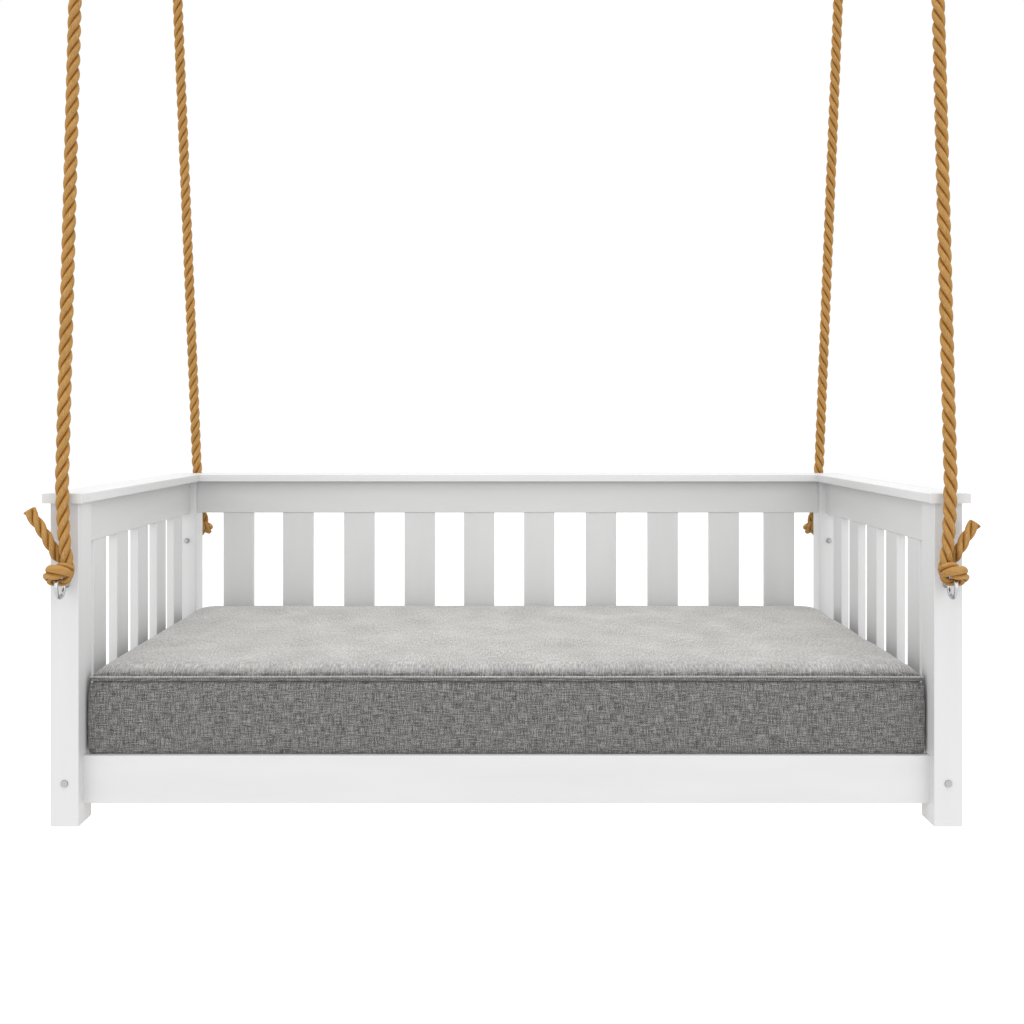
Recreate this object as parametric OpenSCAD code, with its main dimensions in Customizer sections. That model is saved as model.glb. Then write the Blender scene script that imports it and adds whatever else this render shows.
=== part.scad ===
// Hanging swing bed: a painted timber daybed frame with a back and two arms,
// hung from the ceiling on four laid ropes that are knotted into eye bolts.
// Millimetres. X runs along the bed, -Y is its open front, +Z is up.
// The origin lies on the ceiling plane, in the middle of the four ceiling studs.

/* [Frame] */
// Length over the posts
frame_len = 2045; // [1900:5:2300]
// Depth over the posts
frame_depth = 1120; // [1080:5:1300]
// Post size along the length
post_w = 63.5; // [50:0.5:80]
// Post size along the depth
post_d = 86; // [70:1:100]
// Post height, up to the underside of the caps
post_h = 725; // [690:5:800]
// Thickness of the front and back rails
rail_t = 22; // [20:1:30]
// Thickness of the arm rails
arm_rail_t = 26; // [24:1:34]
// Height of the top rails of the back and arms
top_rail_h = 98; // [80:1:120]
// Height of the bottom rails
low_rail_h = 108; // [90:1:140]
// Height of the bottom rails' lower edge above the feet
low_rail_z = 42; // [20:1:80]
// Radius of the eased edges of posts, rails and slats
edge_r = 2; // [1:0.5:4]

/* [Caps] */
// Thickness of the capping boards
cap_t = 22; // [16:1:30]
// Overhang of the capping boards past the posts
cap_over = 14; // [6:1:18]

/* [Slats] */
// Number of back slats
back_slat_n = 10; // [8:1:11]
// Width of a back slat
back_slat_w = 94; // [60:1:110]
// Thickness of a back slat
back_slat_t = 14; // [10:1:18]
// Gap between a back post and the nearest back slat
back_slat_end = 72.75; // [40:0.25:110]
// Number of slats in each arm
arm_slat_n = 5; // [3:1:5]
// Width of an arm slat
arm_slat_w = 90; // [50:1:100]
// Thickness of an arm slat
arm_slat_t = 22; // [12:1:24]
// Gap between a post and the nearest arm slat
arm_slat_end = 79; // [40:1:110]

/* [Bed base] */
// Number of slats under the mattress
bed_slat_n = 12; // [8:1:14]
// Width of a slat under the mattress
bed_slat_w = 70; // [50:1:90]
// Thickness of a slat under the mattress
bed_slat_t = 18; // [14:1:24]
// Height of the ledgers that carry the slats
ledger_h = 30; // [20:1:45]
// Thickness of the ledgers
ledger_t = 24; // [18:1:40]
// Gap between a slat's end and the rail
slat_end_gap = 2; // [1:0.5:6]

/* [Mattress] */
// Gap between the mattress ends and the posts
mattress_end_gap = 4; // [3:0.5:30]
// Gap between the mattress and the back rails
mattress_back_gap = 30.5; // [20:0.5:60]
// Distance of the mattress front behind the front post faces
mattress_set = 40.5; // [35:0.5:60]
// Mattress height up to the top of its piping
mattress_h = 181; // [120:1:220]
// Rise of the crowned top above the piping
crown_h = 21; // [8:1:30]
// Height of the flat piping band round the top edge
piping_h = 12; // [8:1:16]
// Depth of the tufts in the top
tuft_depth = 5; // [2:0.5:8]

/* [Hanging] */
// Height of the ceiling above the feet
hang_drop = 2390; // [2200:5:2800]
// Distance of the ceiling studs inside the frame's ends
stud_end_inset = 17.5; // [0:0.5:40]
// Distance of the ceiling studs inside the frame's front and back
stud_face_inset = 145; // [110:1:160]
// Depth of the upper clevis pin below the ceiling
pin_drop = 42; // [38:1:60]
// Distance between the two pins of a swivel link
link_len = 58; // [54:1:80]
// Rope diameter
rope_d = 30; // [24:1:32]
// Distance of the ropes in from the posts' outer faces
rope_inset = 37.5; // [30:0.5:45]
// Distance of a rope's middle from the post face, at its ring's height
rope_reach = 56; // [54:1:64]
// Height above the caps where the ropes bend as the bed swings
bend_rise = 28; // [24:1:60]
// Length of rope held in a socket
socket_grip = 55; // [40:1:80]

/* [Eye bolts] */
// Distance of the eye bolts below the caps
eye_drop = 182; // [170:1:190]
// Distance of the eye bolts in from the posts' outer faces
eye_inset = 36.5; // [30:0.5:45]
// Distance of the ring's centre from the post face
eye_reach = 40; // [38:1:44]
// Mean radius of the ring
ring_r = 24; // [23:0.5:25]
// Diameter of the ring's wire and the bolt's shank
ring_wire = 9.5; // [8:0.5:10]

/* [Bolts] */
// Diameter of the frame bolts
bolt_d = 8; // [6:1:10]
// Diameter of the frame bolts' flat heads
bolt_head_d = 17.5; // [16:0.5:22]
// Length of a frame bolt inside the rail
bolt_bite = 52; // [40:1:70]
// Diameter of the barrel nuts
barrel_d = 12; // [11:1:14]
// Distance of the side bolts above and below the low rails' middle
side_bolt_step = 28; // [20:1:36]

/* [Hidden] */
// Clearances, each the gap on one side
hole_gap = 0.4;     // bolt in a drilled hole
pin_gap = 0.05;     // hinge pin in its bore
link_gap = 0.6;     // eye between the ears that hold it
bend_gap = 0.3;     // rope end against the ball it bends over
rest_gap = 0.3;     // mattress above what it lies on
nut_gap = 0.05;     // bolt in its nut
bight_gap = 0.8;    // rope's bight under the ring's upper inner edge
ring_side_gap = 1.5; // knot beside the ring's wire

// Heights in the drawing's own frame
foot_z = -hang_drop;
post_top = foot_z + post_h;
cap_top = post_top + cap_t;
low_z = foot_z + low_rail_z;
deck_z = low_z + low_rail_h;
low_mid = low_z + low_rail_h / 2;
top_rail_z = post_top - top_rail_h;

// Half sizes and places of the frame
half_x = frame_len / 2;
half_y = frame_depth / 2;
post_x = half_x - post_w / 2;
post_y = half_y - post_d / 2;
in_x = half_x - post_w;
in_y = half_y - post_d;
rail_in_y = post_y - rail_t / 2;

// The slats of the back aren't quite evenly spaced: shift of each along X
back_slat_shift = [4, 2, 5, 6, 4, 4, 9, 14, 17, 2];

// Places along one hanging corner, for the corner at +X +Y
ring_pt = [half_x - eye_inset, half_y + eye_reach, post_top - eye_drop];
pull_pt = [half_x - rope_inset, half_y + rope_reach, ring_pt.z];
pin_pt = [half_x - stud_end_inset, half_y - stud_face_inset, -pin_drop];
bend_z = cap_top + bend_rise;
lean = (pull_pt.y - pin_pt.y) / (pin_pt.z - pull_pt.z);
low_pin_pt = [pin_pt.x, pin_pt.y + lean * link_len, pin_pt.z - link_len];
bend_pt = [pull_pt.x, pull_pt.y - lean * (bend_z - pull_pt.z), bend_z];
lean_deg = atan(lean);

// The rope hangs taut, so its route is the straight line between these two
rope_route = [bend_pt, low_pin_pt];
rope_r = rope_d / 2;
rope_sides = 10;
rope_rings = 17;
rope_start = rope_r + bend_gap;

// Ceiling fitting and swivel link
pin_r = 6;
ear_t = 8;
ear_r = 16;
flange_r = 30;
flange_t = 8;
stud_r = 6;
stud_h = 80;
link_t = 21;
link_eye_r = 15;
low_ear_t = 7;
low_ear_r = 15;
low_eye_t = 19;
pin_head_r = 9;
pin_head_t = 4;
nut_t = 7;
socket_r = 21;
socket_neck = 24;
socket_neck_r = 7.5;
socket_len = socket_neck + 8 + socket_grip;
rope_stop = socket_neck + 8;

// Eye bolt
shank_r = ring_wire / 2;
shoulder_r = 8;
shoulder_t = 4;
eye_nut_r = 7.5;
eye_nut_t = 9;
eye_nut_flange = 2;
shank_out = eye_nut_t - 2;

// Knot: a bight through the ring, a collar round the rope and a free tail
bight_r = 17;
bight_rope_r = 8.5;
bight_z = ring_r - ring_wire / 2 - bight_gap + bight_r - bight_rope_r;
collar_r = 20;
collar_rope_r = 13;
collar_z = 45;
lobe_r = 16;
lobe_x = 19;
lobe_z = 25;
ring_slot = ring_wire + 2 * ring_side_gap;
stub_z = 37;
tail_r = 12.5;
tail_foot = [13, 4, 46];
tail_tip = [62, 8, 160];

// Frame bolts
bolt_r = bolt_d / 2;
bolt_head_t = 3;
bolt_past_nut = 6;
barrel_r = barrel_d / 2;
barrel_in = bolt_bite - bolt_past_nut - barrel_r;
barrel_skin = 3;    // wood left over a barrel nut at the rail's outer face
barrel_recess = 1;  // depth of a barrel nut under the rail's inner face

// Mattress, filling the frame but for its gaps
mattress_len = 2 * (in_x - mattress_end_gap);
mat_front = -half_y + mattress_set;
mat_back = rail_in_y - mattress_back_gap;
mattress_depth = mat_back - mat_front;
mat_x0 = 0.5;
mat_y0 = (mat_front + mat_back) / 2;
mat_hx = mattress_len / 2;
mat_hy = mattress_depth / 2;
mat_corner = 16;
tuft_px = 320;
tuft_py = 344;
tuft_x0 = -28;
tuft_y0 = -56;
tuft_spread = 70;
mat_edges = [0, 12, 30, 60];
mat_cells_x = 18;
mat_cells_y = 10;
// Height as a share of the side below the piping, and inset, of each ring of points
side_rings = [[0, 14], [0.03, 8], [0.25, 2], [0.5, 0], [0.75, 1], [0.93, 4], [0.99, 9]];
piping_inset = 6;
lip_inset = 10;
top_inset = 16;

$fn = 48;

// ---------- helpers ----------

// Puts a corner piece, drawn at +X +Y, at one of the four corners
module corner(side_x, side_y) {
    mirror([side_x < 0 ? 1 : 0, 0, 0])
        mirror([0, side_y < 0 ? 1 : 0, 0])
            children();
}

module each_corner() {
    for (side_x = [-1, 1], side_y = [-1, 1])
        corner(side_x, side_y) children();
}

// Rectangle with rounded corners, centred
module eased_rect(w, h, r) {
    square([w - 2 * r, h], center = true);
    square([w, h - 2 * r], center = true);
    for (sx = [-1, 1], sy = [-1, 1])
        translate([sx * (w / 2 - r), sy * (h / 2 - r)]) circle(r, $fn = 16);
}

// Board whose grain runs along X, Y or Z, with its four long edges eased.
// lo and hi are opposite corners.
module board_x(lo, hi, r) {
    size = hi - lo;
    mid = (lo + hi) / 2;
    translate([lo.x, mid.y, mid.z]) rotate([90, 0, 90])
        linear_extrude(size.x) eased_rect(size.y, size.z, r);
}

module board_y(lo, hi, r) {
    size = hi - lo;
    mid = (lo + hi) / 2;
    translate([mid.x, hi.y, mid.z]) rotate([90, 0, 0])
        linear_extrude(size.y) eased_rect(size.x, size.z, r);
}

module board_z(lo, hi, r) {
    size = hi - lo;
    mid = (lo + hi) / 2;
    translate([mid.x, mid.y, lo.z])
        linear_extrude(size.z) eased_rect(size.x, size.y, r);
}

// Round bar from p along +X or +Y
module rod_x(p, r, len) {
    translate(p) rotate([0, 90, 0]) cylinder(r = r, h = len);
}

module rod_y(p, r, len) {
    translate(p) rotate([-90, 0, 0]) cylinder(r = r, h = len);
}

// Turns the local +Z axis to run along a direction
module along(dir) {
    flat = norm([dir.x, dir.y]);
    rotate([0, atan2(flat, dir.z), atan2(dir.y, dir.x)]) children();
}

// ---------- timber ----------

// Heights of the bolts that enter a post from its side
low_side_bolts = [low_mid - side_bolt_step, low_mid + side_bolt_step];

module post() {
    color("white")
    difference() {
        board_z([in_x, in_y, foot_z], [half_x, half_y, post_top], edge_r);
        rod_y([ring_pt.x, in_y - 1, ring_pt.z], shank_r + hole_gap, post_d + 2);
        rod_y([post_x, in_y - 1, low_mid], bolt_r + hole_gap, post_d + 2);
        for (z = low_side_bolts)
            rod_x([in_x - 1, post_y, z], bolt_r + hole_gap, post_w + 2);
    }
}

// Holes that a pair of side bolts and their barrel nuts need in a rail's end,
// the nuts' holes drilled from the inner face and stopped short of the outer one
module side_bolt_holes() {
    for (z = low_side_bolts) {
        rod_x([in_x - bolt_bite - 1, post_y, z], bolt_r + hole_gap, bolt_bite + 2);
        rod_y([in_x - barrel_in, rail_in_y - 1, z],
              barrel_r + hole_gap, rail_t - barrel_skin + 1);
    }
}

// Holes for the post bolt and its barrel nut in an arm's bottom rail
module post_bolt_holes() {
    rod_y([post_x, in_y - bolt_bite - 1, low_mid], bolt_r + hole_gap, bolt_bite + 2);
    rod_x([post_x - arm_rail_t / 2 - 1, in_y - barrel_in, low_mid],
          barrel_r + hole_gap, arm_rail_t - barrel_skin + 1);
}

// Long rail between two posts; side_y is -1 at the front and 1 at the back
module long_rail(side_y, z, h) {
    y = side_y * post_y;
    board_x([-in_x, y - rail_t / 2, z], [in_x, y + rail_t / 2, z + h], edge_r);
}

module low_long_rail(side_y) {
    difference() {
        long_rail(side_y, low_z, low_rail_h);
        for (side_x = [-1, 1]) corner(side_x, side_y) side_bolt_holes();
    }
}

module front_rail() { color("white") low_long_rail(-1); }
module back_bottom_rail() { color("white") low_long_rail(1); }
module back_top_rail() { color("white") long_rail(1, top_rail_z, top_rail_h); }

module arm_bottom_rail() {
    color("white")
    difference() {
        board_y([post_x - arm_rail_t / 2, -in_y, low_z],
                [post_x + arm_rail_t / 2, in_y, deck_z], edge_r);
        for (side_y = [-1, 1]) corner(1, side_y) post_bolt_holes();
    }
}

module arm_top_rail() {
    color("white")
    board_y([post_x - arm_rail_t / 2, -in_y, top_rail_z],
            [post_x + arm_rail_t / 2, in_y, post_top], edge_r);
}

// Inner edge of the back capping board, against which the arm caps end
back_cap_y = in_y - cap_over;

module back_cap() {
    color("white")
    board_x([-half_x - cap_over, back_cap_y, post_top],
            [half_x + cap_over, half_y + cap_over, cap_top], edge_r);
}

module arm_cap() {
    color("white")
    board_y([in_x - cap_over, -half_y - cap_over, post_top],
            [half_x + cap_over, back_cap_y, cap_top], edge_r);
}

module back_slats() {
    pitch = (2 * (in_x - back_slat_end) - back_slat_w) / (back_slat_n - 1);
    color("white")
    for (i = [0 : back_slat_n - 1]) {
        shift = i < len(back_slat_shift) ? back_slat_shift[i] : 0;
        x = (i - (back_slat_n - 1) / 2) * pitch + shift;
        board_z([x - back_slat_w / 2, post_y - back_slat_t / 2, deck_z],
                [x + back_slat_w / 2, post_y + back_slat_t / 2, top_rail_z], edge_r);
    }
}

module arm_slats() {
    pitch = (2 * (in_y - arm_slat_end) - arm_slat_w) / (arm_slat_n - 1);
    color("white")
    for (i = [0 : arm_slat_n - 1]) {
        y = (i - (arm_slat_n - 1) / 2) * pitch;
        board_z([post_x - arm_slat_t / 2, y - arm_slat_w / 2, deck_z],
                [post_x + arm_slat_t / 2, y + arm_slat_w / 2, top_rail_z], edge_r);
    }
}

// Slat supports on the inner faces of the front and back rails
ledger_top = deck_z - bed_slat_t;

module ledger() {
    color("burlywood")
    board_x([-in_x, rail_in_y - ledger_t, ledger_top - ledger_h],
            [in_x, rail_in_y, ledger_top], edge_r);
}

module bed_slats() {
    reach = rail_in_y - slat_end_gap;
    pitch = (2 * in_x - bed_slat_w) / bed_slat_n;
    color("burlywood")
    for (i = [0 : bed_slat_n - 1]) {
        x = (i - (bed_slat_n - 1) / 2) * pitch;
        board_y([x - bed_slat_w / 2, -reach, ledger_top],
                [x + bed_slat_w / 2, reach, deck_z], edge_r);
    }
}

// ---------- frame bolts ----------

// Bolt with a flat domed head, head at the origin and shank along -Z
module frame_bolt(shank_len) {
    translate([0, 0, -shank_len]) cylinder(r = bolt_r, h = shank_len);
    cylinder(r1 = bolt_head_d / 2, r2 = bolt_head_d / 2 - 1, h = bolt_head_t);
}

// Bolts through the posts into the arms' bottom rails
module post_bolts() {
    color("silver")
    each_corner()
        translate([post_x, half_y, low_mid]) rotate([-90, 0, 0])
            frame_bolt(post_d + bolt_bite);
}

// Bolts through the posts into the front and back rails
module side_bolts() {
    color("silver")
    each_corner()
        for (z = low_side_bolts)
            translate([half_x, post_y, z]) rotate([0, 90, 0])
                frame_bolt(post_w + bolt_bite);
}

module barrel_nuts() {
    short_by = barrel_skin + barrel_recess + hole_gap;
    color("silver")
    each_corner() {
        for (z = low_side_bolts)
            difference() {
                rod_y([in_x - barrel_in, rail_in_y + barrel_recess, z],
                      barrel_r, rail_t - short_by);
                rod_x([in_x - bolt_bite, post_y, z], bolt_r + nut_gap, bolt_bite);
            }
        difference() {
            rod_x([post_x - arm_rail_t / 2 + barrel_recess, in_y - barrel_in, low_mid],
                  barrel_r, arm_rail_t - short_by);
            rod_y([post_x, in_y - bolt_bite, low_mid], bolt_r + nut_gap, bolt_bite);
        }
    }
}

// ---------- eye bolts ----------

module eye_bolt() {
    color("silver") {
        translate(ring_pt) rotate([0, 90, 0])
            rotate_extrude() translate([ring_r, 0]) circle(shank_r, $fn = 24);
        rod_y([ring_pt.x, in_y - shank_out, ring_pt.z], shank_r,
              post_d + shank_out + eye_reach - ring_r);
        rod_y([ring_pt.x, half_y, ring_pt.z], shoulder_r, shoulder_t);
    }
}

module eye_bolt_nuts() {
    color("silver")
    each_corner()
        translate([ring_pt.x, in_y, ring_pt.z]) rotate([90, 0, 0])
            difference() {
                union() {
                    cylinder(r = eye_nut_r + 1, h = eye_nut_flange);
                    cylinder(r1 = eye_nut_r, r2 = eye_nut_r - 2.5, h = eye_nut_t);
                }
                translate([0, 0, -1]) cylinder(r = shank_r + nut_gap, h = shank_out + 1 + nut_gap);
            }
}

// ---------- rope ----------

// Point of a route at a share t of its length
function on_route(route, t) = route[0] + (route[1] - route[0]) * t;

// Two unit vectors square to a direction
function side_a(dir) = let (c = cross(dir, [0, 1, 0])) c / norm(c);
function side_b(dir) = let (c = cross(side_a(dir), dir)) c / norm(c);

// Ring of points round a place on the rope
function rope_ring(centre, dir, r) = [
    for (k = [0 : rope_sides - 1])
        let (turn = 360 * k / rope_sides)
            centre + r * (cos(turn) * side_a(dir) + sin(turn) * side_b(dir))
];

// Straight rope along a route, from a length past its start to a length short of its end
module rope_tube(route, from, short) {
    span = norm(route[1] - route[0]);
    dir = (route[1] - route[0]) / span;
    stations = [
        for (i = [0 : rope_rings - 1])
            from + (span - from - short) * i / (rope_rings - 1)
    ];
    points = [for (s = stations) each rope_ring(on_route(route, s / span), dir, rope_r)];
    last = (rope_rings - 1) * rope_sides;
    sides = [
        for (i = [0 : rope_rings - 2], k = [0 : rope_sides - 1])
            let (a = i * rope_sides + k, b = i * rope_sides + (k + 1) % rope_sides)
                each [[a, a + rope_sides, b], [b, a + rope_sides, b + rope_sides]]
    ];
    foot = [for (k = [1 : rope_sides - 2]) [0, k, k + 1]];
    head = [for (k = [1 : rope_sides - 2]) [last, last + k + 1, last + k]];
    polyhedron(points, concat(sides, foot, head), convexity = 4);
}

module rope() {
    color("peru") rope_tube(rope_route, rope_start, rope_stop);
}

// The short length over which the rope bends, between the rope and the knot
module rope_bend() {
    color("peru") translate(bend_pt) sphere(rope_r);
}

module knot() {
    stub_len = (bend_z - ring_pt.z - stub_z) / cos(lean_deg);
    color("peru")
    difference() {
        union() {
            translate(ring_pt) {
                // bight through the ring
                translate([0, 0, bight_z]) rotate([90, 0, 0])
                    rotate_extrude() translate([bight_r, 0]) circle(bight_rope_r, $fn = 24);
                // collar round the standing rope
                translate(pull_pt - ring_pt + [0, -lean * collar_z, collar_z])
                    rotate_extrude() translate([collar_r, 0]) circle(collar_rope_r, $fn = 24);
                // lobes at both sides of the ring
                for (side = [-1, 1])
                    difference() {
                        translate([side * lobe_x, 0, lobe_z]) sphere(lobe_r);
                        cube([ring_slot, 4 * lobe_r, 6 * lobe_r], center = true);
                    }
                // free tail
                translate(tail_foot) along(tail_tip - tail_foot)
                    cylinder(r = tail_r, h = norm(tail_tip - tail_foot));
            }
            // standing rope up to the bend
            translate(bend_pt) rotate([lean_deg, 0, 0])
                translate([0, 0, -stub_len]) cylinder(r = rope_r, h = stub_len);
        }
        translate(bend_pt) sphere(rope_r + bend_gap);
    }
}

// ---------- ceiling fittings ----------

// Forged socket on the rope's upper end, hung on the swivel link's lower pin
module rope_socket() {
    dir = (bend_pt - low_pin_pt) / norm(bend_pt - low_pin_pt);
    color("silver")
    difference() {
        union() {
            rod_y(low_pin_pt - [0, low_eye_t / 2, 0], low_ear_r, low_eye_t);
            translate(low_pin_pt) along(dir)
                cylinder(r = socket_neck_r, h = socket_neck);
            translate(low_pin_pt) along(dir) translate([0, 0, socket_neck])
                cylinder(r = socket_r, h = socket_len - socket_neck);
        }
        rod_y(low_pin_pt - [0, low_eye_t, 0], pin_r + pin_gap, 2 * low_eye_t);
        translate(low_pin_pt) along(dir) translate([0, 0, rope_stop])
            cylinder(r = rope_r + bend_gap, h = socket_len);
    }
}

// Headed pin through the link's lower ears
module link_pin() {
    half = low_eye_t / 2 + link_gap + low_ear_t;
    color("silver")
    translate(low_pin_pt) {
        rod_y([0, -half, 0], pin_r, 2 * half);
        rod_y([0, half, 0], pin_head_r, pin_head_t);
        rod_y([0, -half - pin_head_t, 0], pin_head_r, pin_head_t);
    }
}

// Link with an eye for the upper pin and two ears for the lower pin, square to it
module swivel_link() {
    ear_in = low_eye_t / 2 + link_gap;
    ear_out = ear_in + low_ear_t;
    web_z = low_pin_pt.z + low_ear_r + 4;
    eye_x = link_t / 2;
    color("silver")
    difference() {
        union() {
            rod_x(pin_pt - [eye_x, 0, 0], link_eye_r, link_t);
            // ears of the lower end
            for (side = [-1, 1])
                translate([0, side > 0 ? ear_in : -ear_out, 0])
                    rod_y(low_pin_pt, low_ear_r, low_ear_t);
            for (side = [-1, 1])
                translate([low_pin_pt.x - low_ear_r, low_pin_pt.y + (side > 0 ? ear_in : -ear_out),
                           low_pin_pt.z])
                    cube([2 * low_ear_r, low_ear_t, low_ear_r + 8]);
            // web that joins the ears under the eye
            translate([pin_pt.x - low_ear_r, low_pin_pt.y - ear_out, web_z])
                cube([2 * low_ear_r, 2 * ear_out, 7]);
            translate([pin_pt.x - eye_x, pin_pt.y - link_eye_r, web_z])
                cube([link_t, 2 * link_eye_r, pin_pt.z - web_z]);
        }
        rod_x(pin_pt - [link_t, 0, 0], pin_r + pin_gap, 2 * link_t);
        rod_y(low_pin_pt - [0, 2 * ear_out, 0], pin_r + pin_gap, 4 * ear_out);
    }
}

// Lag stud with a flange and two ears, screwed up into the joist
module ceiling_hanger() {
    ear_in = link_t / 2 + link_gap;
    top = [pin_pt.x, pin_pt.y, 0];
    color("silver")
    difference() {
        union() {
            translate(top) cylinder(r = stud_r, h = stud_h);
            translate(top - [0, 0, flange_t]) cylinder(r = flange_r, h = flange_t);
            for (side = [-1, 1])
                translate([side > 0 ? ear_in : -ear_in - ear_t, 0, 0]) {
                    rod_x(pin_pt, ear_r, ear_t);
                    translate(pin_pt - [0, ear_r, 0])
                        cube([ear_t, 2 * ear_r, pin_drop - flange_t]);
                }
        }
        rod_x(pin_pt - [2 * link_t, 0, 0], pin_r + pin_gap, 4 * link_t);
    }
}

clevis_half = link_t / 2 + link_gap + ear_t;

module clevis_bolts() {
    color("silver")
    each_corner()
        translate(pin_pt) {
            rod_x([-clevis_half, 0, 0], pin_r, 2 * clevis_half + nut_t + 3);
            translate([-clevis_half - 6, 0, 0]) rotate([0, 90, 0])
                cylinder(r = 11, h = 6, $fn = 6);
        }
}

module clevis_nuts() {
    color("silver")
    each_corner()
        translate(pin_pt + [clevis_half, 0, 0]) rotate([0, 90, 0])
            difference() {
                cylinder(r = 11, h = nut_t, $fn = 6);
                translate([0, 0, -1]) cylinder(r = pin_r + nut_gap, h = nut_t + 2);
            }
}

// ---------- mattress ----------

// Distances from one end of a side at which the top's grid has lines
function grid_lines(len, cells) = concat(
    mat_edges,
    [for (i = [1 : cells - 1])
        mat_edges[3] + (len - 2 * mat_edges[3]) * i / cells],
    [for (i = [3 : -1 : 0]) len - mat_edges[i]]
);

mat_us = grid_lines(mattress_len, mat_cells_x);
mat_vs = grid_lines(mattress_depth, mat_cells_y);
mat_nu = len(mat_us);
mat_nv = len(mat_vs);

// Moves a point of a rectangle so that the rectangle's corners come out round
function rounded(x, y, hx, hy) =
    let (
        c = mat_corner,
        p = max(0, abs(x) - (hx - c)) / c,
        q = max(0, abs(y) - (hy - c)) / c,
        px = hx - c + c * p * sqrt(1 - q * q / 2),
        py = hy - c + c * q * sqrt(1 - p * p / 2)
    )
    [p > 0 ? sign(x) * px : x, q > 0 ? sign(y) * py : y];

// Depth of the nearest tuft at a point; the tufts stand in staggered rows
function tuft(x, y) =
    let (
        row = round((y - tuft_y0) / (tuft_py / 2)),
        dy = y - tuft_y0 - row * tuft_py / 2,
        x_row = x - tuft_x0 - (row % 2 == 0 ? 0 : tuft_px / 2),
        dx = x_row - round(x_row / tuft_px) * tuft_px,
        d = norm([dx, dy])
    )
    tuft_depth * exp(-pow(d / tuft_spread, 2));

// Height of the crowned top above the piping
function crown(x, y) =
    let (
        ex = max(0, 1 - pow(abs(x) / mat_hx, 30)),
        ey = max(0, 1 - pow(abs(y) / mat_hy, 20)),
        lift = sqrt(ex * ey)
    )
    lift * (crown_h - tuft(x, y));

function mat_flat(i, j) =
    rounded(mat_us[i] - mat_hx, mat_vs[j] - mat_hy, mat_hx, mat_hy);

// Grid places along the edge, anticlockwise from the front left corner
mat_loop = concat(
    [for (i = [0 : mat_nu - 2]) [i, 0]],
    [for (j = [0 : mat_nv - 2]) [mat_nu - 1, j]],
    [for (i = [mat_nu - 1 : -1 : 1]) [i, mat_nv - 1]],
    [for (j = [mat_nv - 1 : -1 : 1]) [0, j]]
);
mat_loop_n = len(mat_loop);

// Loop of points round the side, pulled in by an inset
function side_ring(z, inset) = [
    for (ij = mat_loop)
        let (p = mat_flat(ij[0], ij[1]))
            [p.x * (1 - inset / mat_hx), p.y * (1 - inset / mat_hy), z]
];

module mattress() {
    body_h = mattress_h - piping_h;
    rings = concat(
        [for (s = side_rings) side_ring(s[0] * body_h, s[1])],
        [side_ring(body_h + 2, piping_inset), side_ring(mattress_h - 2, piping_inset),
         side_ring(mattress_h, lip_inset)]
    );
    ring_n = len(rings);
    top_points = [
        for (j = [0 : mat_nv - 1], i = [0 : mat_nu - 1])
            let (p = mat_flat(i, j))
                [p.x * (1 - top_inset / mat_hx), p.y * (1 - top_inset / mat_hy),
                 mattress_h + crown(p.x, p.y)]
    ];
    top_start = ring_n * mat_loop_n;
    points = concat([for (r = rings) each r], top_points);
    side_faces = [
        for (r = [0 : ring_n - 2], k = [0 : mat_loop_n - 1])
            let (
                a = r * mat_loop_n + k,
                b = r * mat_loop_n + (k + 1) % mat_loop_n
            )
            each [[a, a + mat_loop_n, b], [b, a + mat_loop_n, b + mat_loop_n]]
    ];
    lip_faces = [
        for (k = [0 : mat_loop_n - 1])
            let (
                ij = mat_loop[k],
                next = mat_loop[(k + 1) % mat_loop_n],
                a = (ring_n - 1) * mat_loop_n + k,
                b = (ring_n - 1) * mat_loop_n + (k + 1) % mat_loop_n,
                ta = top_start + ij[1] * mat_nu + ij[0],
                tb = top_start + next[1] * mat_nu + next[0]
            )
            each [[a, ta, b], [b, ta, tb]]
    ];
    top_faces = [
        for (j = [0 : mat_nv - 2], i = [0 : mat_nu - 2])
            let (a = top_start + j * mat_nu + i)
                each [[a, a + mat_nu, a + 1], [a + 1, a + mat_nu, a + mat_nu + 1]]
    ];
    foot_face = [[for (k = [0 : mat_loop_n - 1]) k]];
    color("gray")
    translate([mat_x0, mat_y0, deck_z + rest_gap])
        polyhedron(points, concat(side_faces, lip_faces, top_faces, foot_face), convexity = 4);
}

// ---------- nodes ----------

corner(-1, -1) post();  // post_fl
corner(1, -1) post();  // post_fr
corner(-1, 1) post();  // post_bl
corner(1, 1) post();  // post_br
front_rail();
back_bottom_rail();
back_top_rail();
corner(-1, 1) arm_bottom_rail();  // arm_bottom_rail_l
corner(1, 1) arm_bottom_rail();  // arm_bottom_rail_r
corner(-1, 1) arm_top_rail();  // arm_top_rail_l
corner(1, 1) arm_top_rail();  // arm_top_rail_r
back_cap();
corner(-1, 1) arm_cap();  // arm_cap_l
corner(1, 1) arm_cap();  // arm_cap_r
back_slats();
corner(-1, 1) arm_slats();  // arm_slats_l
corner(1, 1) arm_slats();  // arm_slats_r
corner(1, -1) ledger();  // ledger_front
corner(1, 1) ledger();  // ledger_back
bed_slats();
post_bolts();
side_bolts();
barrel_nuts();
corner(-1, -1) eye_bolt();  // eye_bolt_fl
corner(1, -1) eye_bolt();  // eye_bolt_fr
corner(-1, 1) eye_bolt();  // eye_bolt_bl
corner(1, 1) eye_bolt();  // eye_bolt_br
eye_bolt_nuts();
mattress();
corner(-1, -1) knot();  // knot_fl
corner(1, -1) knot();  // knot_fr
corner(-1, 1) knot();  // knot_bl
corner(1, 1) knot();  // knot_br
corner(-1, -1) rope_bend();  // rope_bend_fl
corner(1, -1) rope_bend();  // rope_bend_fr
corner(-1, 1) rope_bend();  // rope_bend_bl
corner(1, 1) rope_bend();  // rope_bend_br
corner(-1, -1) rope();  // rope_fl
corner(1, -1) rope();  // rope_fr
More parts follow.
